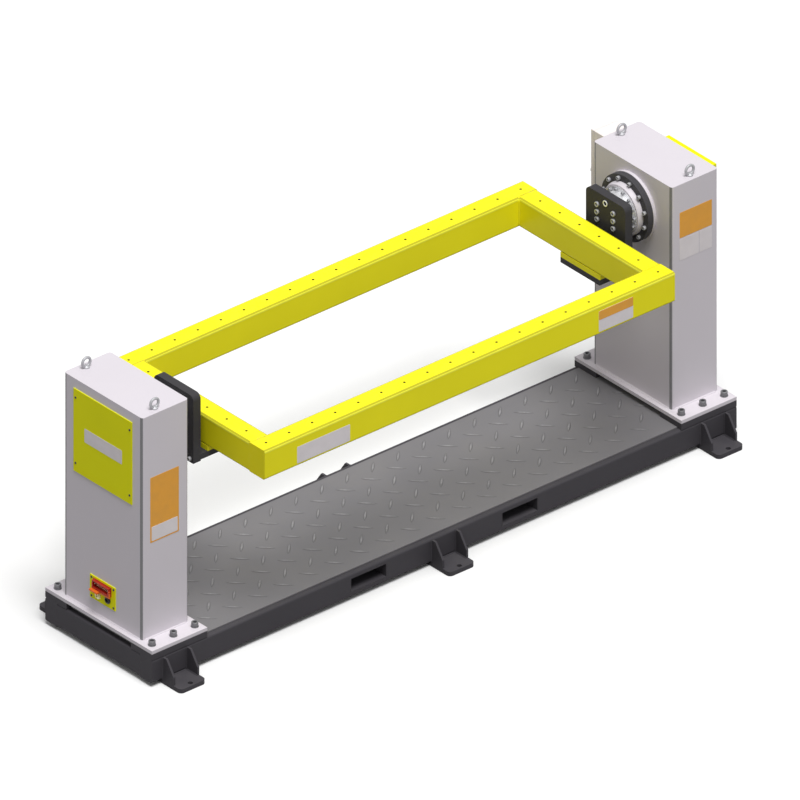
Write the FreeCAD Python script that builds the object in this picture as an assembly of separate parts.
"""Head-and-tail welding positioner with a rotating work frame.

A long welded base carries two hollow pillars. The drive pillar (+X) holds a
servo motor and a cycloidal reducer, the tail pillar (-X) a bearing housing with
a hollow spindle. Between them a welded rectangular frame turns about X.

The origin is on the floor, under the middle of the base. X runs along the base
from the tail pillar to the drive pillar, +Y points to the back, Z is up.
All lengths are in millimetres.
"""
import FreeCAD
import Part
import math
import os

V = FreeCAD.Vector
X_DIR, Y_DIR, Z_DIR = V(1, 0, 0), V(0, 1, 0), V(0, 0, 1)

# Base frame
base_length = 3170.0
base_width = 680.0
beam_height = 110.0
beam_width = 80.0
beam_wall = 6.0
beam_corner = 10.0
cross_height = 80.0
cross_width = 60.0
cross_wall = 5.0
cross_spacing = 850.0
pocket_width = 190.0
pocket_height = 60.0
pocket_wall = 5.0
pocket_offset = 410.0
pocket_above_beam_bottom = 27.0

# Deck plate between and under the pillars
deck_thickness = 5.0
deck_inset = 26.0

# Feet
foot_thickness = 20.0
foot_width = 140.0
foot_reach = 116.0
foot_under_beam = 62.0
foot_corner = 20.0
foot_hole_radius = 11.0
foot_hole_out = 95.0
foot_from_end = 127.0
gusset_thickness = 10.0
gusset_top_drop = 4.0
gusset_top_reach = 24.0
gusset_reach = 70.0
gusset_toe_height = 38.0

# Pillar pads, base plates and their bolts
pad_length = 135.0
pad_thickness = 30.0
plate_depth = 300.0
plate_thickness = 16.0
base_bolt_radius = 10.0
base_bolt_head_radius = 15.0
base_bolt_head_height = 20.0
base_bolt_socket = 17.0
base_bolt_grip = 15.0
base_washer_radius = 17.0
base_washer_thickness = 3.0
base_bolt_pitch_x = 116.0
base_bolt_edge_y = 40.0

# Socket-head screws: chamfer of a head, depth of a socket as a share of the head
head_chamfer = 1.2
socket_depth = 0.55

# Pillars
pillar_depth = 250.0
pillar_width = 500.0
pillar_above_axis = 191.0
pillar_wall = 8.0
pillar_corner = 14.0
axis_height = 1052.0
boss_radius = 153.0
boss_thickness = 15.0

# Lifting eyes
eye_ring_radius = 21.0
eye_bar_radius = 6.0
eye_collar_radius = 15.0
eye_collar_height = 5.0
eye_neck_radius = 7.0
eye_neck_height = 11.0
eye_centre_height = 26.0
eye_shank_radius = 6.0
eye_shank_length = 20.0
eye_from_edge = 33.0
tail_eye_shift = 32.0

# Housing flange, alike on both pillars
flange_radius = 151.0
flange_thickness = 28.0
spigot_radius = 114.9
spigot_length = 54.0
flange_bolt_circle = 135.0
flange_bolt_count = 12
flange_bolt_first_angle = 15.0
flange_bolt_radius = 6.0
flange_bolt_head_radius = 9.0
flange_bolt_head_height = 12.0
flange_bolt_socket = 10.0
flange_bolt_length = 42.0
hub_length = 24.0
hub_root_radius = 119.0
hub_rim_radius = 112.0
hub_straight = 7.0

# Turning flanges
turn_flange_radius = 104.0
turn_flange_proud = 3.0
turn_boss_radius = 86.0
turn_boss_length = 37.0
journal_radius = 60.0
journal_length = 40.0
tail_block_thickness = 25.0
tail_block_width = 136.0
tail_block_height = 120.0
spindle_radius = 45.0
spindle_bore_radius = 18.0
spindle_nut_radius = 53.0
spindle_nut_length = 14.0

# Motor and input shaft; tooth heights are in modules, tooth widths in shares of the pitch
pinion_module = 2.0
pinion_teeth = 18
tooth_above_pitch = 1.0
tooth_below_pitch = 1.25
tooth_tip_share = 0.24
tooth_pitch_share = 0.5
tooth_root_share = 0.72
pinion_length = 28.0
pinion_gap = 4.0
pinion_cavity_radius = 26.0
input_shaft_radius = 11.0
input_shaft_length = 66.0
motor_flange_size = 130.0
motor_flange_thickness = 14.0
motor_size = 116.0
motor_length = 146.0
motor_corner = 12.0
encoder_size = 92.0
encoder_length = 32.0
motor_plug_size = 28.0
motor_plug_pitch = 56.0

# Slip ring behind the tail spindle
slip_ring_radius = 66.0
slip_ring_length = 90.0
slip_ring_wall = 9.0

# Adapter plates, shelves and spacers between the spindles and the frame
adapter_thickness = 40.0
adapter_width = 250.0
adapter_above_axis = 93.0
adapter_below_axis = 230.0
adapter_corner = 25.0
adapter_bolt_half_pitch_y = 51.5
adapter_bolt_pitch_z = 36.0
adapter_bolt_radius = 8.0
adapter_bolt_head_radius = 12.0
adapter_bolt_head_height = 16.0
adapter_bolt_socket = 14.0
adapter_bolt_grip = 24.0
adapter_bolt_recess = 8.0
locating_bush_hole = 9.0
locating_bush_above_axis = 62.0
shelf_thickness = 26.0
shelf_bolt_radius = 6.0
shelf_bolt_head_radius = 9.5
shelf_bolt_head_height = 12.0
shelf_bolt_socket = 10.0
shelf_bolt_half_pitch = 105.0
shelf_bolt_grip = 26.0

# Work frame
frame_width = 975.0
tube_width = 100.0
tube_height = 140.0
tube_wall = 6.0
tube_corner = 10.0
frame_top_below_axis = 34.0
frame_hole_pitch = 125.0
frame_hole_radius = 5.3
frame_end_gap = 38.0
shelf_top_below_tube = 24.0

# Covers and panels
tail_cover_width = 372.0
tail_cover_height = 396.0
tail_cover_thickness = 4.0
tail_cover_drop = 46.0
cover_lap = 26.0
cover_screw_radius = 4.0
cover_screw_side = 14.0
cover_screw_end = 41.0
drive_cover_width = 302.0
drive_cover_height = 420.0
drive_cover_depth = 20.0
drive_cover_sheet = 3.0
drive_cover_shift = -66.0
panel_width = 162.0
panel_height = 110.0
panel_thickness = 4.0
panel_centre_height = 297.0
panel_lap = 9.0
panel_screw_inset = 11.0

# Connectors on the panel
plug_width = 104.0
plug_height = 36.0
plug_proud = 14.0
plug_behind = 30.0
plug_mouth_depth = 28.0
plug_wall = 4.0
plug_flange_margin = 5.0
plug_flange_thickness = 3.0
plug_above_centre = 26.0
lever_pin_radius = 3.0
lever_pin_length = 5.0
lever_arm_thickness = 3.0
lever_arm_height = 9.0
lever_reach = 25.0
lever_bar_thickness = 7.0
lever_tab_width = 50.0
lever_tab_reach = 16.0
port_radius = 13.0
port_nut_radius = 16.0
port_nut_thickness = 5.0
port_proud = 8.0
port_behind = 16.0
port_bore_depth = 14.0
air_port_bore = 6.5
signal_port_bore = 9.8
air_port_y = 26.0
signal_port_y = -35.0
air_port_drop = 25.0
signal_port_drop = 20.0

# Terminal box on the drive pillar
box_width = 127.0
box_height = 400.0
box_depth = 62.0
box_sheet = 3.0
box_from_inner_face = 56.0
cable_hole_radius = 20.0
door_thickness = 18.0
door_gap = 0.4
hinge_offset = 9.0
hinge_pin_radius = 3.0
hinge_barrel_radius = 6.0
hinge_barrel_length = 24.0
hinge_end_distance = 60.0
latch_shaft_radius = 6.0
latch_knob_radius = 11.0
latch_knob_length = 12.0
latch_from_edge = 16.0
latch_drop = 203.0
latch_cam_length = 26.0
latch_cam_width = 12.0
latch_cam_thickness = 4.0

# Clearances
running_gap = 0.05
turning_gap = 0.4
bolt_gap = 1.0
thread_gap = 0.1
sleeve_gap = 0.2
cut_margin = 5.0
least_corner = 1.0
round_end_relief = 0.1

# Levels and places worked out from the sizes above
beam_bottom = foot_thickness
beam_top = beam_bottom + beam_height
pad_top = beam_top + pad_thickness
plate_top = pad_top + plate_thickness
pillar_top = axis_height + pillar_above_axis
base_half = base_length / 2
width_half = base_width / 2
foot_spacing = base_half - foot_from_end
pillar_centre = base_half - plate_depth / 2
pillar_inner_face = pillar_centre - pillar_depth / 2
pillar_outer_face = pillar_centre + pillar_depth / 2
flange_back = pillar_inner_face - boss_thickness
flange_front = flange_back - flange_thickness
hub_front = flange_front - hub_length
turn_front = hub_front - turn_flange_proud
housing_rear = flange_back + spigot_length
drive_plate_back = turn_front - turn_boss_length
tail_plate_back = drive_plate_back - tail_block_thickness
drive_plate_front = drive_plate_back - adapter_thickness
tail_plate_front = tail_plate_back - adapter_thickness
frame_centre = (drive_plate_front - tail_plate_front) / 2
frame_length = drive_plate_front + tail_plate_front - 2 * frame_end_gap
frame_top = axis_height - frame_top_below_axis
frame_bottom = frame_top - tube_height
shelf_top = frame_bottom - shelf_top_below_tube
shelf_bottom = shelf_top - shelf_thickness
hinge_x = pillar_inner_face + box_from_inner_face + box_width + hinge_offset
hinge_y = pillar_width / 2 + box_depth
lever_pivot_z = panel_centre_height + plug_above_centre


def block(x_range, y_range, z_range):
    """Box between the limits given for each axis."""
    lows = V(x_range[0], y_range[0], z_range[0])
    return Part.makeBox(x_range[1] - x_range[0], y_range[1] - y_range[0], z_range[1] - z_range[0], lows)


def rounded_face(centre, u_dir, v_dir, width, height, radius):
    """Rectangle with round corners about centre, its sides along u_dir and v_dir."""
    u_in, v_in = width / 2 - radius, height / 2 - radius
    edges, ends = [], []
    for corner, (u_sign, v_sign) in enumerate(((1, 1), (-1, 1), (-1, -1), (1, -1))):
        middle = centre + u_dir * (u_sign * u_in) + v_dir * (v_sign * v_in)
        points = []
        for step in range(3):
            angle = math.radians(90 * corner + 45 * step)
            points.append(middle + u_dir * (radius * math.cos(angle)) + v_dir * (radius * math.sin(angle)))
        edges.append(Part.Arc(*points).toShape())
        ends.append((points[0], points[2]))
    for corner in range(4):
        edges.append(Part.LineSegment(ends[corner][1], ends[(corner + 1) % 4][0]).toShape())
    return Part.Face(Part.Wire(Part.__sortEdges__(edges)))


def rounded_bar(start, direction, length, u_dir, v_dir, width, height, radius):
    """Bar of round-cornered section that runs from start along direction."""
    return rounded_face(start, u_dir, v_dir, width, height, radius).extrude(direction * length)


def closed_tube(start, direction, length, side_dir, width, height, wall, corner):
    """Hollow section with welded caps, Z across its height."""
    outer = rounded_bar(start, direction, length, side_dir, Z_DIR, width, height, corner)
    inner = rounded_bar(start + direction * wall, direction, length - 2 * wall, side_dir, Z_DIR,
                        width - 2 * wall, height - 2 * wall, max(corner - wall, least_corner))
    return outer.cut(inner)


def disc(x_from, x_to, radius, y=0.0, z=axis_height):
    """Cylinder along X between two places."""
    low, high = sorted((x_from, x_to))
    return Part.makeCylinder(radius, high - low, V(low, y, z), X_DIR)


def revolved(profile):
    """Solid turned about the spindle axis from (x, radius) points."""
    points = [V(x, 0, axis_height + radius) for x, radius in profile]
    face = Part.Face(Part.makePolygon(points + points[:1]))
    return face.revolve(V(0, 0, axis_height), X_DIR, 360)


def fused(shapes):
    """One solid from touching shapes, without the seams between them."""
    return shapes[0].multiFuse(shapes[1:]).removeSplitter()


def flange_bolt_places():
    """Y and Z of the flange bolts, on a circle about the spindle axis."""
    for index in range(flange_bolt_count):
        angle = math.radians(flange_bolt_first_angle + 360.0 * index / flange_bolt_count)
        yield flange_bolt_circle * math.cos(angle), axis_height + flange_bolt_circle * math.sin(angle)


def socket_screw(seat, direction, head, shank):
    """Screw with its head's underside at seat and its shank along direction.

    head is (radius, height, width of the hexagon socket), shank is (radius, length).
    """
    radius, height, socket_width = head
    top = seat - direction * height
    body = Part.makeCylinder(radius, height, top, direction)
    rim = [edge for edge in body.Edges if (edge.CenterOfMass - top).Length < head_chamfer]
    body = body.makeChamfer(head_chamfer, rim[:1])
    across = Z_DIR if abs(direction.z) < 0.5 else X_DIR
    reach = socket_width / math.sqrt(3)
    corners = [top + FreeCAD.Rotation(direction, 60 * turn).multVec(across * reach) for turn in range(6)]
    socket = Part.Face(Part.makePolygon(corners + corners[:1])).extrude(direction * height * socket_depth)
    stem = Part.makeCylinder(shank[0], shank[1], seat, direction)
    return fused([body.cut(socket), stem])


def to_tail(shape):
    """Mirror a shape made for the drive side over to the tail side."""
    return shape.mirror(V(0, 0, 0), X_DIR)


def export(node, shape):
    """Write one sub-part as one STEP file, named after its node."""
    shape.exportStep(os.path.join("parts", node + ".step"))


def long_beam(side):
    """Front or rear beam, cut for the two fork pockets."""
    y_middle = side * (width_half - beam_width / 2)
    beam = closed_tube(V(-base_half, y_middle, beam_bottom + beam_height / 2), X_DIR, base_length,
                       Y_DIR, beam_width, beam_height, beam_wall, beam_corner)
    reach = beam_width / 2 + cut_margin
    for sign in (-1, 1):
        outer_half = pocket_width / 2 + pocket_wall + sleeve_gap
        z_low = beam_bottom + pocket_above_beam_bottom - pocket_wall - sleeve_gap
        z_high = z_low + pocket_height + 2 * (pocket_wall + sleeve_gap)
        x_middle = sign * pocket_offset
        beam = beam.cut(block((x_middle - outer_half, x_middle + outer_half),
                              (y_middle - reach, y_middle + reach), (z_low, z_high)))
    return beam


def cross_beam(x_middle, width, height, wall, corner):
    """Beam across the base, between the long beams and flush with their tops."""
    length = base_width - 2 * beam_width
    start = V(x_middle, -length / 2, beam_top - height / 2)
    return closed_tube(start, Y_DIR, length, X_DIR, width, height, wall, corner)


def fork_pocket(side):
    """Sleeve for a fork, through both long beams."""
    z_middle = beam_bottom + pocket_above_beam_bottom + pocket_height / 2
    x_middle = side * pocket_offset
    outer = block((x_middle - pocket_width / 2 - pocket_wall, x_middle + pocket_width / 2 + pocket_wall),
                  (-width_half, width_half),
                  (z_middle - pocket_height / 2 - pocket_wall, z_middle + pocket_height / 2 + pocket_wall))
    inner = block((x_middle - pocket_width / 2, x_middle + pocket_width / 2),
                  (-width_half - cut_margin, width_half + cut_margin),
                  (z_middle - pocket_height / 2, z_middle + pocket_height / 2))
    return outer.cut(inner)


def deck():
    """Plate on the beams, with a notch round each pillar pad."""
    plate = block((-base_half + deck_inset, base_half - deck_inset),
                  (-width_half + deck_inset, width_half - deck_inset), (beam_top, beam_top + deck_thickness))
    notch_x = base_half - plate_depth - 2 * sleeve_gap
    notch_y = width_half - pad_length - 2 * sleeve_gap
    for x_sign in (-1, 1):
        for y_sign in (-1, 1):
            x_range = sorted((x_sign * notch_x, x_sign * (base_half + cut_margin)))
            y_range = sorted((y_sign * notch_y, y_sign * (width_half + cut_margin)))
            plate = plate.cut(block(x_range, y_range, (beam_top - cut_margin, pad_top)))
    return plate


def foot(x_middle, side):
    """Foot plate under a long beam with two gussets up the beam's face."""
    inner_y, outer_y = width_half - foot_under_beam, width_half + foot_reach
    half = foot_width / 2
    plate = block((x_middle - half, x_middle + half), (inner_y, outer_y), (0, foot_thickness))
    outer_edges = [edge for edge in plate.Edges
                   if edge.BoundBox.ZLength > foot_thickness / 2 and edge.CenterOfMass.y > width_half]
    plate = plate.makeFillet(foot_corner, outer_edges)
    hole_foot = V(x_middle, width_half + foot_hole_out, 0)
    plate = plate.cut(Part.makeCylinder(foot_hole_radius, foot_thickness, hole_foot))
    pieces = [plate]
    for sign in (-1, 1):
        x_face = x_middle + sign * half - (gusset_thickness if sign > 0 else 0)
        outline = [(0, foot_thickness), (gusset_reach, foot_thickness),
                   (gusset_reach, foot_thickness + gusset_toe_height),
                   (gusset_top_reach, beam_top - gusset_top_drop), (0, beam_top - gusset_top_drop)]
        points = [V(x_face, width_half + out, z) for out, z in outline]
        pieces.append(Part.Face(Part.makePolygon(points + points[:1])).extrude(X_DIR * gusset_thickness))
    shape = fused(pieces)
    return shape if side > 0 else shape.mirror(V(0, 0, 0), Y_DIR)


def bolt_places(side):
    """X and Y of the bolts that hold one pillar's base plate."""
    for y_sign in (-1, 1):
        for step in (-1, 0, 1):
            yield side * pillar_centre + step * base_bolt_pitch_x, y_sign * (width_half - base_bolt_edge_y)


def pad(x_side, y_side):
    """Steel pad between a long beam and a pillar's base plate, tapped for three bolts."""
    x_middle = x_side * pillar_centre
    y_range = sorted((y_side * (width_half - pad_length), y_side * width_half))
    shape = block((x_middle - plate_depth / 2, x_middle + plate_depth / 2), y_range, (beam_top, pad_top))
    for x, y in bolt_places(x_side):
        if y * y_side > 0:
            hole_foot = V(x, y, beam_top)
            shape = shape.cut(Part.makeCylinder(base_bolt_radius + thread_gap, pad_thickness, hole_foot))
    return shape


def base_plate(side):
    """Plate under a pillar."""
    x_middle = side * pillar_centre
    shape = block((x_middle - plate_depth / 2, x_middle + plate_depth / 2),
                  (-width_half, width_half), (pad_top, plate_top))
    for x, y in bolt_places(side):
        shape = shape.cut(Part.makeCylinder(base_bolt_radius + bolt_gap, plate_thickness, V(x, y, pad_top)))
    return shape


def base_bolts(side):
    """Six socket-head bolts with washers."""
    bolts = []
    for x, y in bolt_places(side):
        washer = Part.makeCylinder(base_washer_radius, base_washer_thickness, V(x, y, plate_top))
        head_bottom = plate_top + base_washer_thickness
        screw = socket_screw(V(x, y, head_bottom), -Z_DIR,
                             (base_bolt_head_radius, base_bolt_head_height, base_bolt_socket),
                             (base_bolt_radius, head_bottom - pad_top + base_bolt_grip))
        bolts.append(fused([washer, screw]))
    return Part.makeCompound(bolts)


def eye_places(side):
    """X and Y of the two lifting eyes on a pillar."""
    x = side * pillar_centre - (tail_eye_shift if side < 0 else 0)
    for y_sign in (-1, 1):
        yield x, y_sign * (pillar_width / 2 - eye_from_edge)


def pillar_body(side):
    """Hollow pillar, drive side as made, with bearing bore and welded boss on its inner face."""
    middle = V(pillar_centre, 0, plate_top)
    height = pillar_top - plate_top
    shell = rounded_bar(middle, Z_DIR, height, X_DIR, Y_DIR, pillar_depth, pillar_width, pillar_corner)
    cavity = rounded_bar(middle, Z_DIR, height - pillar_wall, X_DIR, Y_DIR,
                         pillar_depth - 2 * pillar_wall, pillar_width - 2 * pillar_wall,
                         max(pillar_corner - pillar_wall, least_corner))
    body = fused([shell.cut(cavity), disc(flange_back, pillar_inner_face, boss_radius)])
    bore_end = pillar_inner_face + pillar_wall + cut_margin
    body = body.cut(disc(flange_back - cut_margin, bore_end, spigot_radius + thread_gap))
    for y, z in flange_bolt_places():
        body = body.cut(disc(flange_back - cut_margin, bore_end, flange_bolt_radius + thread_gap, y, z))
    if side < 0:
        body = to_tail(body)
    for x, y in eye_places(side):
        hole_foot = V(x, y, pillar_top - pillar_wall)
        body = body.cut(Part.makeCylinder(eye_shank_radius + thread_gap, pillar_wall, hole_foot))
    return body


def tail_pillar():
    """Tail pillar, open behind its cover and behind its connector panel."""
    body = pillar_body(-1)
    wall = (-pillar_outer_face - cut_margin, -pillar_outer_face + pillar_wall + cut_margin)
    cover_top = pillar_top - tail_cover_drop
    half = tail_cover_width / 2 - cover_lap
    body = body.cut(block(wall, (-half, half),
                          (cover_top - tail_cover_height + cover_lap, cover_top - cover_lap)))
    half = panel_width / 2 - panel_lap
    rise = panel_height / 2 - panel_lap
    return body.cut(block(wall, (-half, half), (panel_centre_height - rise, panel_centre_height + rise)))


def drive_pillar():
    """Drive pillar, open behind its cover and for the cables to the terminal box."""
    body = pillar_body(1)
    wall = (pillar_outer_face - pillar_wall - cut_margin, pillar_outer_face + cut_margin)
    half = drive_cover_width / 2 - cover_lap
    z_range = (pillar_top - drive_cover_height + cover_lap, pillar_top - cover_lap - pillar_wall)
    body = body.cut(block(wall, (drive_cover_shift - half, drive_cover_shift + half), z_range))
    x, z = box_middle()
    return body.cut(Part.makeCylinder(cable_hole_radius, 2 * pillar_wall,
                                      V(x, pillar_width / 2 - 1.5 * pillar_wall, z), Y_DIR))


def eye_bolts(side):
    """Two lifting eyes with their rings in the plane of X and Z."""
    eyes = []
    for x, y in eye_places(side):
        seat = V(x, y, pillar_top)
        ring = Part.makeTorus(eye_ring_radius, eye_bar_radius, seat + Z_DIR * eye_centre_height, Y_DIR)
        ring = ring.cut(Part.makeCylinder(eye_ring_radius, eye_collar_height, seat, -Z_DIR))
        collar = Part.makeCylinder(eye_collar_radius, eye_collar_height, seat)
        neck = Part.makeCone(eye_collar_radius, eye_neck_radius, eye_neck_height - eye_collar_height,
                             seat + Z_DIR * eye_collar_height)
        shank = Part.makeCylinder(eye_shank_radius, eye_shank_length, seat, -Z_DIR)
        eyes.append(fused([collar, neck, ring, shank]))
    return Part.makeCompound(eyes)


def flange_bolts():
    """Ring of socket-head bolts on a housing flange, drive side."""
    bolts = []
    for y, z in flange_bolt_places():
        bolts.append(socket_screw(V(flange_front, y, z), X_DIR,
                                  (flange_bolt_head_radius, flange_bolt_head_height, flange_bolt_socket),
                                  (flange_bolt_radius, flange_bolt_length)))
    return Part.makeCompound(bolts)


def drill_flange(shape):
    """Clearance holes for the flange bolts, drive side."""
    for y, z in flange_bolt_places():
        shape = shape.cut(disc(flange_front - cut_margin, flange_back + cut_margin,
                               flange_bolt_radius + bolt_gap, y, z))
    return shape


def reducer_case():
    """Reducer body: flange on the boss, spigot in the bore, seats for output journal and pinion."""
    journal_end = flange_front + journal_length + turning_gap
    bore = journal_radius + running_gap
    case = revolved([(flange_front, bore), (flange_front, flange_radius), (flange_back, flange_radius),
                     (flange_back, spigot_radius), (housing_rear, spigot_radius),
                     (housing_rear, pinion_cavity_radius), (journal_end, pinion_cavity_radius),
                     (journal_end, bore)])
    return drill_flange(case)


def hub_profile(bore):
    """Outline of the raised hub round a turning flange."""
    return [(flange_front, bore), (flange_front, hub_root_radius),
            (flange_front - hub_straight, hub_root_radius),
            (hub_front, hub_rim_radius), (hub_front, bore)]


def reducer_hub():
    """White seal ring round the output flange."""
    return revolved(hub_profile(turn_flange_radius + turning_gap))


def output_flange():
    """Turning flange of the reducer, with the boss that carries the adapter plate."""
    flange_rear = flange_front - turning_gap
    flange = revolved([(drive_plate_back, spindle_bore_radius), (drive_plate_back, turn_boss_radius),
                       (turn_front, turn_boss_radius), (turn_front, turn_flange_radius),
                       (flange_rear, turn_flange_radius), (flange_rear, journal_radius),
                       (flange_front + journal_length, journal_radius),
                       (flange_front + journal_length, spindle_bore_radius)])
    return drill_boss(flange, 1)


def adapter_bolt_places():
    """Y and Z of the bolts through an adapter plate."""
    for y_sign in (-1, 1):
        for row in (-1, 0, 1):
            yield y_sign * adapter_bolt_half_pitch_y, axis_height + row * adapter_bolt_pitch_z


def drill_boss(shape, side):
    """Tapped holes for the adapter bolts in the boss of a turning flange."""
    face = drive_plate_back if side > 0 else -tail_plate_back
    for y, z in adapter_bolt_places():
        shape = shape.cut(disc(face - side * cut_margin, face + side * (adapter_bolt_grip + cut_margin),
                               adapter_bolt_radius + thread_gap, y, z))
    return shape


def pinion(start):
    """Spur gear with straight-flanked teeth about its pitch circle."""
    pitch_radius = pinion_module * pinion_teeth / 2
    step = 2 * math.pi / pinion_teeth
    flank = [(tooth_root_share / 2, -tooth_below_pitch), (tooth_pitch_share / 2, 0.0),
             (tooth_tip_share / 2, tooth_above_pitch)]
    outline = [(-turn, modules_out) for turn, modules_out in flank] + flank[::-1]
    points = []
    for tooth in range(pinion_teeth):
        for turn, modules_out in outline:
            angle = (tooth + turn) * step
            radius = pitch_radius + modules_out * pinion_module
            points.append(V(start, radius * math.cos(angle), axis_height + radius * math.sin(angle)))
    return Part.Face(Part.makePolygon(points + points[:1])).extrude(X_DIR * pinion_length)


def input_shaft():
    """Motor shaft with its pinion."""
    pinion_start = flange_front + journal_length + pinion_gap
    shaft = disc(pinion_start + pinion_length, housing_rear + input_shaft_length, input_shaft_radius)
    return fused([pinion(pinion_start), shaft])


def servo_motor():
    """Motor behind the reducer: square flange, ribbed body, encoder cap and two plugs."""
    flange_end = housing_rear + motor_flange_thickness
    body_end = flange_end + motor_length
    flange = rounded_bar(V(housing_rear, 0, axis_height), X_DIR, motor_flange_thickness, Y_DIR, Z_DIR,
                         motor_flange_size, motor_flange_size, motor_corner)
    body = rounded_bar(V(flange_end, 0, axis_height), X_DIR, motor_length, Y_DIR, Z_DIR,
                       motor_size, motor_size, motor_corner)
    cap = rounded_bar(V(body_end, 0, axis_height), X_DIR, encoder_length, Y_DIR, Z_DIR,
                      encoder_size, encoder_size, motor_corner)
    pieces = [flange, body, cap]
    for x in (body_end - motor_plug_size, body_end - motor_plug_size - motor_plug_pitch):
        z_low = axis_height + motor_size / 2
        pieces.append(block((x - motor_plug_size / 2, x + motor_plug_size / 2),
                            (-motor_plug_size / 2, motor_plug_size / 2), (z_low, z_low + motor_plug_size)))
    bore_end = housing_rear + input_shaft_length + cut_margin
    return fused(pieces).cut(disc(housing_rear - cut_margin, bore_end, input_shaft_radius + running_gap))


def tail_housing():
    """Bearing housing of the tail pillar, with a hub like the reducer's."""
    seat = turn_flange_radius + turning_gap
    bore = spindle_radius + running_gap
    housing = revolved([(flange_front, bore), (flange_front, seat)] + hub_profile(seat)[:0:-1]
                       + [(flange_front, flange_radius), (flange_back, flange_radius),
                          (flange_back, spigot_radius), (housing_rear, spigot_radius), (housing_rear, bore)])
    return to_tail(drill_flange(housing))


def tail_spindle():
    """Hollow spindle with its flange, boss and lock nut, and a block that carries the adapter plate."""
    flange_rear = flange_front - turning_gap
    nut_start = housing_rear + turning_gap
    nut_end = nut_start + spindle_nut_length
    spindle = revolved([(drive_plate_back, spindle_bore_radius), (drive_plate_back, turn_boss_radius),
                        (turn_front, turn_boss_radius), (turn_front, turn_flange_radius),
                        (flange_rear, turn_flange_radius), (flange_rear, spindle_radius),
                        (nut_start, spindle_radius), (nut_start, spindle_nut_radius),
                        (nut_end, spindle_nut_radius), (nut_end, spindle_bore_radius)])
    carrier = block((tail_plate_back, drive_plate_back), (-tail_block_width / 2, tail_block_width / 2),
                    (axis_height - tail_block_height / 2, axis_height + tail_block_height / 2))
    carrier = carrier.cut(disc(tail_plate_back - cut_margin, drive_plate_back + cut_margin, spindle_bore_radius))
    return drill_boss(to_tail(fused([spindle, carrier])), -1)


def slip_ring():
    """Drum behind the tail spindle, on the housing's rear face."""
    drum_start = housing_rear + spindle_nut_length + cut_margin
    end = housing_rear + slip_ring_length
    inner = slip_ring_radius - slip_ring_wall
    drum = revolved([(housing_rear, inner), (housing_rear, slip_ring_radius), (end, slip_ring_radius),
                     (end, spindle_bore_radius), (drum_start, spindle_bore_radius), (drum_start, inner)])
    return to_tail(drum)


def adapter_plate(side):
    """Thick plate on a turning flange, with recessed bolt holes and a hole for a locating bush."""
    back = drive_plate_back if side > 0 else -tail_plate_back
    front = back - side * adapter_thickness
    plate = block(sorted((back, front)), (-adapter_width / 2, adapter_width / 2),
                  (axis_height - adapter_below_axis, axis_height + adapter_above_axis))
    upper_corners = [edge for edge in plate.Edges
                     if edge.BoundBox.XLength > adapter_thickness / 2 and edge.CenterOfMass.z > axis_height]
    plate = plate.makeFillet(adapter_corner, upper_corners)
    through = (back + side * cut_margin, front - side * cut_margin)
    recess = (front, front + side * adapter_bolt_recess)
    for y, z in adapter_bolt_places():
        plate = plate.cut(disc(*through, adapter_bolt_radius + bolt_gap, y, z))
        plate = plate.cut(disc(*recess, adapter_bolt_head_radius + bolt_gap, y, z))
    plate = plate.cut(disc(*through, locating_bush_hole, 0, axis_height + locating_bush_above_axis))
    for y_sign in (-1, 1):
        plate = plate.cut(disc(*through, shelf_bolt_radius + bolt_gap,
                               y_sign * shelf_bolt_half_pitch, shelf_top - shelf_thickness / 2))
    return plate


def adapter_bolts(side):
    """Six bolts into the turning flange and two into the shelf; the shelf's come from behind."""
    back = drive_plate_back if side > 0 else -tail_plate_back
    front = back - side * adapter_thickness
    bolts = []
    for y, z in adapter_bolt_places():
        seat = V(front + side * adapter_bolt_recess, y, z)
        bolts.append(socket_screw(seat, X_DIR * side,
                                  (adapter_bolt_head_radius, adapter_bolt_head_height, adapter_bolt_socket),
                                  (adapter_bolt_radius,
                                   adapter_thickness - adapter_bolt_recess + adapter_bolt_grip)))
    for y_sign in (-1, 1):
        seat = V(back, y_sign * shelf_bolt_half_pitch, shelf_top - shelf_thickness / 2)
        bolts.append(socket_screw(seat, X_DIR * -side,
                                  (shelf_bolt_head_radius, shelf_bolt_head_height, shelf_bolt_socket),
                                  (shelf_bolt_radius, adapter_thickness + shelf_bolt_grip)))
    return Part.makeCompound(bolts)


def shelf(side):
    """Shelf from the adapter plate to the inner face of the frame's end tube."""
    front = drive_plate_front if side > 0 else -tail_plate_front
    inner = frame_centre + side * (frame_length / 2 - tube_width)
    shape = block(sorted((front, inner)), (-adapter_width / 2, adapter_width / 2), (shelf_bottom, shelf_top))
    for y_sign in (-1, 1):
        shape = shape.cut(disc(front + side * cut_margin, front - side * (shelf_bolt_grip + cut_margin),
                               shelf_bolt_radius + thread_gap, y_sign * shelf_bolt_half_pitch,
                               shelf_top - shelf_thickness / 2))
    return shape


def spacer(side):
    """Packing block between a shelf and the frame's end tube."""
    outer = frame_centre + side * frame_length / 2
    return block(sorted((outer, outer - side * tube_width)),
                 (-adapter_width / 2, adapter_width / 2), (shelf_top, frame_bottom))


def hole_steps(length):
    """Places of the holes along a rail, about its middle, one pitch apart."""
    count = int(round((length - tube_width) / frame_hole_pitch)) + 1
    return [(index - (count - 1) / 2) * frame_hole_pitch for index in range(count)]


def drill_rail(rail, places):
    """Tapped holes through the top wall of a rail."""
    for x, y in places:
        hole_foot = V(x, y, frame_top - tube_wall)
        rail = rail.cut(Part.makeCylinder(frame_hole_radius, tube_wall + cut_margin, hole_foot))
    return rail


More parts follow.
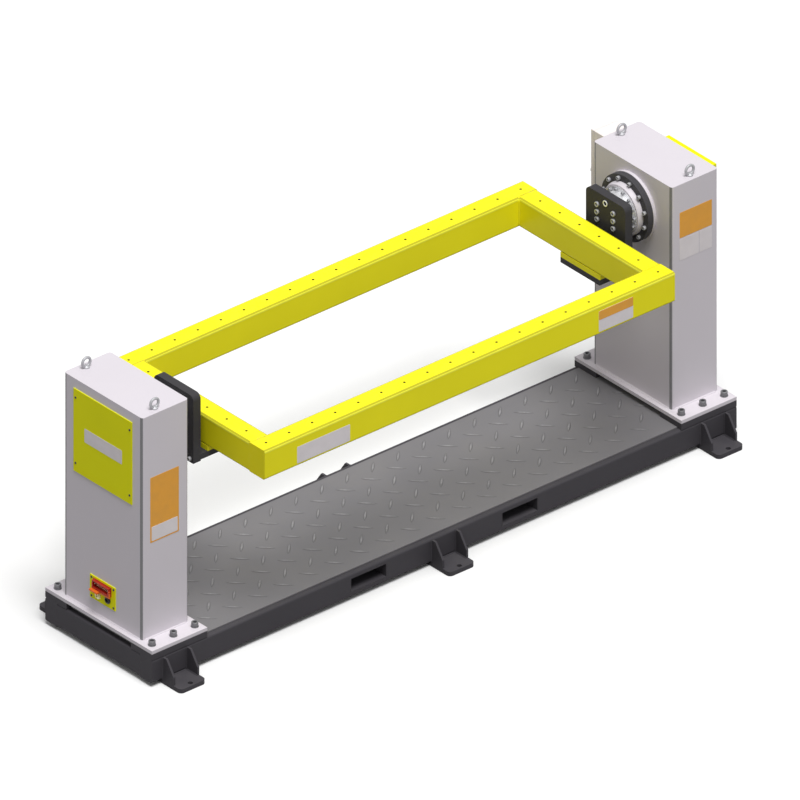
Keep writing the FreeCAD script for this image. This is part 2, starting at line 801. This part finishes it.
def long_rail(side):
    """Front or rear tube of the work frame, over the full length."""
    y = side * (frame_width - tube_width) / 2
    start = V(frame_centre - frame_length / 2, y, frame_top - tube_height / 2)
    rail = closed_tube(start, X_DIR, frame_length, Y_DIR, tube_width, tube_height, tube_wall, tube_corner)
    return drill_rail(rail, [(frame_centre + step, y) for step in hole_steps(frame_length)])


def end_rail(side):
    """Tube of the work frame between the two long ones."""
    x = frame_centre + side * (frame_length - tube_width) / 2
    length = frame_width - 2 * tube_width
    start = V(x, -length / 2, frame_top - tube_height / 2)
    rail = closed_tube(start, Y_DIR, length, X_DIR, tube_width, tube_height, tube_wall, tube_corner)
    return drill_rail(rail, [(x, step) for step in hole_steps(frame_width)[1:-1]])


def tail_cover():
    """Cover plate on the outer face of the tail pillar."""
    top = pillar_top - tail_cover_drop
    half = tail_cover_width / 2
    plate = block((-pillar_outer_face - tail_cover_thickness, -pillar_outer_face), (-half, half),
                  (top - tail_cover_height, top))
    for y in (cover_screw_side - half, half - cover_screw_side):
        for z in (top - cover_screw_end, top - tail_cover_height + cover_screw_end):
            plate = plate.cut(disc(-pillar_outer_face - tail_cover_thickness, -pillar_outer_face,
                                   cover_screw_radius, y, z))
    return plate


def drive_cover():
    """Folded tray over the motor opening of the drive pillar."""
    half = drive_cover_width / 2
    y_low, y_high = drive_cover_shift - half, drive_cover_shift + half
    z_low = pillar_top - drive_cover_height
    outside = pillar_outer_face + drive_cover_depth
    tray = block((pillar_outer_face, outside), (y_low, y_high), (z_low, pillar_top))
    hollow = block((pillar_outer_face, outside - drive_cover_sheet),
                   (y_low + drive_cover_sheet, y_high - drive_cover_sheet),
                   (z_low + drive_cover_sheet, pillar_top - drive_cover_sheet))
    return tray.cut(hollow)


def connector_panel():
    """Panel that carries the connectors near the foot of the tail pillar."""
    face = -pillar_outer_face
    half, rise = panel_width / 2, panel_height / 2
    plate = block((face - panel_thickness, face), (-half, half),
                  (panel_centre_height - rise, panel_centre_height + rise))
    through = (face - panel_thickness - cut_margin, face + cut_margin)
    opening_half, opening_rise = plug_width / 2 + sleeve_gap, plug_height / 2 + sleeve_gap
    plate = plate.cut(block(through, (-opening_half, opening_half),
                            (lever_pivot_z - opening_rise, lever_pivot_z + opening_rise)))
    for y, drop in ((air_port_y, air_port_drop), (signal_port_y, signal_port_drop)):
        plate = plate.cut(disc(*through, port_radius + thread_gap, y, panel_centre_height - drop))
    for y in (panel_screw_inset - half, half - panel_screw_inset):
        for z_sign in (-1, 1):
            z = panel_centre_height + z_sign * (rise - panel_screw_inset)
            plate = plate.cut(disc(*through, cover_screw_radius, y, z))
    return plate


def power_connector():
    """Housing of the many-pole connector, through the panel, with two pins for its lever."""
    face = -pillar_outer_face - panel_thickness
    half, rise = plug_width / 2, plug_height / 2
    z = lever_pivot_z
    flange = block((face - plug_flange_thickness, face),
                   (-half - plug_flange_margin, half + plug_flange_margin),
                   (z - rise - plug_flange_margin / 2, z + rise + plug_flange_margin / 2))
    housing = block((face - plug_proud, face + plug_behind), (-half, half), (z - rise, z + rise))
    mouth = block((face - plug_proud, face - plug_proud + plug_mouth_depth),
                  (-half + plug_wall, half - plug_wall), (z - rise + plug_wall, z + rise - plug_wall))
    pieces = [flange, housing]
    for y in (-half - lever_pin_length, half):
        pieces.append(Part.makeCylinder(lever_pin_radius, lever_pin_length, V(lever_pivot_x(), y, z), Y_DIR))
    return fused(pieces).cut(mouth)


def lever_pivot_x():
    """X of the lever's pins, midway out on the connector's rim."""
    return -pillar_outer_face - panel_thickness - (plug_proud + plug_flange_thickness) / 2


def connector_lever():
    """Locking lever: two arms on the pins, a bar under the connector and a finger tab on the bar."""
    x, z = lever_pivot_x(), lever_pivot_z
    arm_half = plug_width / 2 + turning_gap
    pieces = []
    for sign in (-1, 1):
        y_range = sorted((sign * arm_half, sign * (arm_half + lever_arm_thickness)))
        arm = rounded_bar(V(x, y_range[0], z - lever_reach / 2), Y_DIR, lever_arm_thickness, X_DIR, Z_DIR,
                          lever_arm_height, lever_reach + lever_arm_height,
                          lever_arm_height / 2 - round_end_relief)
        pieces.append(arm)
    outside = arm_half + lever_arm_thickness
    half = lever_bar_thickness / 2
    bar_levels = (z - lever_reach - half, z - lever_reach + half)
    pieces.append(block((x - half, x + half), (-outside, outside), bar_levels))
    pieces.append(block((x - half - lever_tab_reach, x), (outside - lever_tab_width, outside), bar_levels))
    pin_hole = Part.makeCylinder(lever_pin_radius + running_gap, 2 * outside, V(x, -outside, z), Y_DIR)
    return fused(pieces).cut(pin_hole)


def round_port(y, drop, bore):
    """Round bulkhead fitting with its nut, through the connector panel."""
    face = -pillar_outer_face - panel_thickness
    z = panel_centre_height - drop
    front = face - port_proud
    body = disc(front, face + port_behind, port_radius, y, z)
    nut = disc(face - port_nut_thickness, face, port_nut_radius, y, z)
    mouth = disc(front, front + port_bore_depth, bore, y, z)
    return fused([body, nut]).cut(mouth)


def box_middle():
    """X and Z of the middle of the terminal box."""
    return pillar_inner_face + box_from_inner_face + box_width / 2, pillar_top - box_height / 2


def hinge_levels():
    """Lower ends of the two door barrels."""
    yield pillar_top - box_height + hinge_end_distance
    yield pillar_top - hinge_end_distance - hinge_barrel_length


def terminal_box():
    """Sheet box on the back of the drive pillar, with the hinge lugs and pins for its door."""
    x, z = box_middle()
    y_back = pillar_width / 2
    half, rise = box_width / 2, box_height / 2
    shell = block((x - half, x + half), (y_back, hinge_y - door_gap), (z - rise, z + rise))
    hollow = block((x - half + box_sheet, x + half - box_sheet), (y_back + box_sheet, hinge_y),
                   (z - rise + box_sheet, z + rise - box_sheet))
    pieces = [shell.cut(hollow)]
    for low in hinge_levels():
        lug_low = low - door_gap - hinge_barrel_length / 2
        lug_high = low - door_gap
        pieces.append(block((x + half, hinge_x), (hinge_y - 2 * hinge_barrel_radius, hinge_y - door_gap),
                            (lug_low, lug_high)))
        hinge_foot = V(hinge_x, hinge_y, lug_low)
        pin_length = lug_high - lug_low + hinge_barrel_length
        pieces.append(Part.makeCylinder(hinge_barrel_radius, lug_high - lug_low, hinge_foot))
        pieces.append(Part.makeCylinder(hinge_pin_radius, pin_length, hinge_foot))
    hole = Part.makeCylinder(cable_hole_radius, 2 * box_sheet, V(x, y_back - box_sheet / 2, z), Y_DIR)
    return fused(pieces).cut(hole)


def box_door():
    """Door of the terminal box with its two hinge barrels."""
    x, z = box_middle()
    half, rise = box_width / 2, box_height / 2
    panel = block((x - half, x + half), (hinge_y, hinge_y + door_thickness), (z - rise, z + rise))
    hollow = block((x - half + box_sheet, x + half - box_sheet),
                   (hinge_y, hinge_y + door_thickness - box_sheet),
                   (z - rise + box_sheet, z + rise - box_sheet))
    pieces = [panel.cut(hollow)]
    for low in hinge_levels():
        pieces.append(block((x + half, hinge_x), (hinge_y + door_gap, hinge_y + hinge_barrel_radius),
                            (low, low + hinge_barrel_length)))
        pieces.append(Part.makeCylinder(hinge_barrel_radius, hinge_barrel_length, V(hinge_x, hinge_y, low)))
    door = fused(pieces)
    for low in hinge_levels():
        barrel_foot = V(hinge_x, hinge_y, low)
        door = door.cut(Part.makeCylinder(hinge_pin_radius + running_gap, hinge_barrel_length, barrel_foot))
    latch_x, latch_z = latch_place()
    return door.cut(Part.makeCylinder(latch_shaft_radius + running_gap, 2 * door_thickness,
                                      V(latch_x, hinge_y - door_thickness / 2, latch_z), Y_DIR))


def latch_place():
    """X and Z of the latch, near the free edge of the door."""
    return pillar_inner_face + box_from_inner_face + latch_from_edge, pillar_top - latch_drop


def door_latch():
    """Quarter-turn knob with its shaft through the door and its cam behind it."""
    x, z = latch_place()
    outside = hinge_y + door_thickness
    cam_back = hinge_y - latch_cam_thickness
    shaft_length = outside - cam_back + latch_knob_length / 2
    shaft = Part.makeCylinder(latch_shaft_radius, shaft_length, V(x, cam_back, z), Y_DIR)
    knob = Part.makeCylinder(latch_knob_radius, latch_knob_length, V(x, outside + turning_gap, z), Y_DIR)
    cam = block((x - latch_cam_width / 2, x + latch_cam_width / 2), (cam_back, hinge_y),
                (z - latch_cam_length, z + latch_cam_width / 2))
    return fused([shaft, knob, cam])


def build():
    """Make every node and write it out."""
    os.makedirs("parts", exist_ok=True)
    for name, side in (("front", -1), ("rear", 1)):
        export(f"base_beam_{name}", long_beam(side))
        for place, x in (("tail", -foot_spacing), ("middle", 0.0), ("drive", foot_spacing)):
            export(f"foot_{name}_{place}", foot(x, side))
        for place, x_side in (("tail", -1), ("drive", 1)):
            export(f"pad_{name}_{place}", pad(x_side, side))
        export(f"frame_rail_{name}", long_rail(side))
    end_x = base_half - beam_width / 2
    for name, side in (("tail", -1), ("drive", 1)):
        export(f"base_beam_{name}", cross_beam(side * end_x, beam_width, beam_height, beam_wall, beam_corner))
        export(f"fork_pocket_{name}", fork_pocket(side))
        export(f"pillar_base_plate_{name}", base_plate(side))
        export(f"base_bolts_{name}", base_bolts(side))
        export(f"eye_bolts_{name}", eye_bolts(side))
        export(f"adapter_plate_{name}", adapter_plate(side))
        export(f"adapter_bolts_{name}", adapter_bolts(side))
        export(f"shelf_{name}", shelf(side))
        export(f"spacer_{name}", spacer(side))
        export(f"frame_rail_{name}", end_rail(side))
    for name, x in (("tail", -cross_spacing), ("middle", 0.0), ("drive", cross_spacing)):
        export(f"cross_member_{name}", cross_beam(x, cross_width, cross_height, cross_wall, beam_corner))
    export("deck_plate", deck())
    export("pillar_tail", tail_pillar())
    export("pillar_drive", drive_pillar())
    export("cover_tail", tail_cover())
    export("cover_drive", drive_cover())
    export("connector_panel", connector_panel())
    export("power_connector", power_connector())
    export("connector_lever", connector_lever())
    export("air_fitting", round_port(air_port_y, air_port_drop, air_port_bore))
    export("signal_connector", round_port(signal_port_y, signal_port_drop, signal_port_bore))
    export("terminal_box", terminal_box())
    export("box_door", box_door())
    export("door_latch", door_latch())
    export("reducer_case", reducer_case())
    export("reducer_hub", reducer_hub())
    export("flange_bolts_drive", flange_bolts())
    export("flange_bolts_tail", to_tail(flange_bolts()))
    export("output_flange", output_flange())
    export("input_shaft", input_shaft())
    export("servo_motor", servo_motor())
    export("tail_housing", tail_housing())
    export("tail_spindle", tail_spindle())
    export("slip_ring", slip_ring())


build()
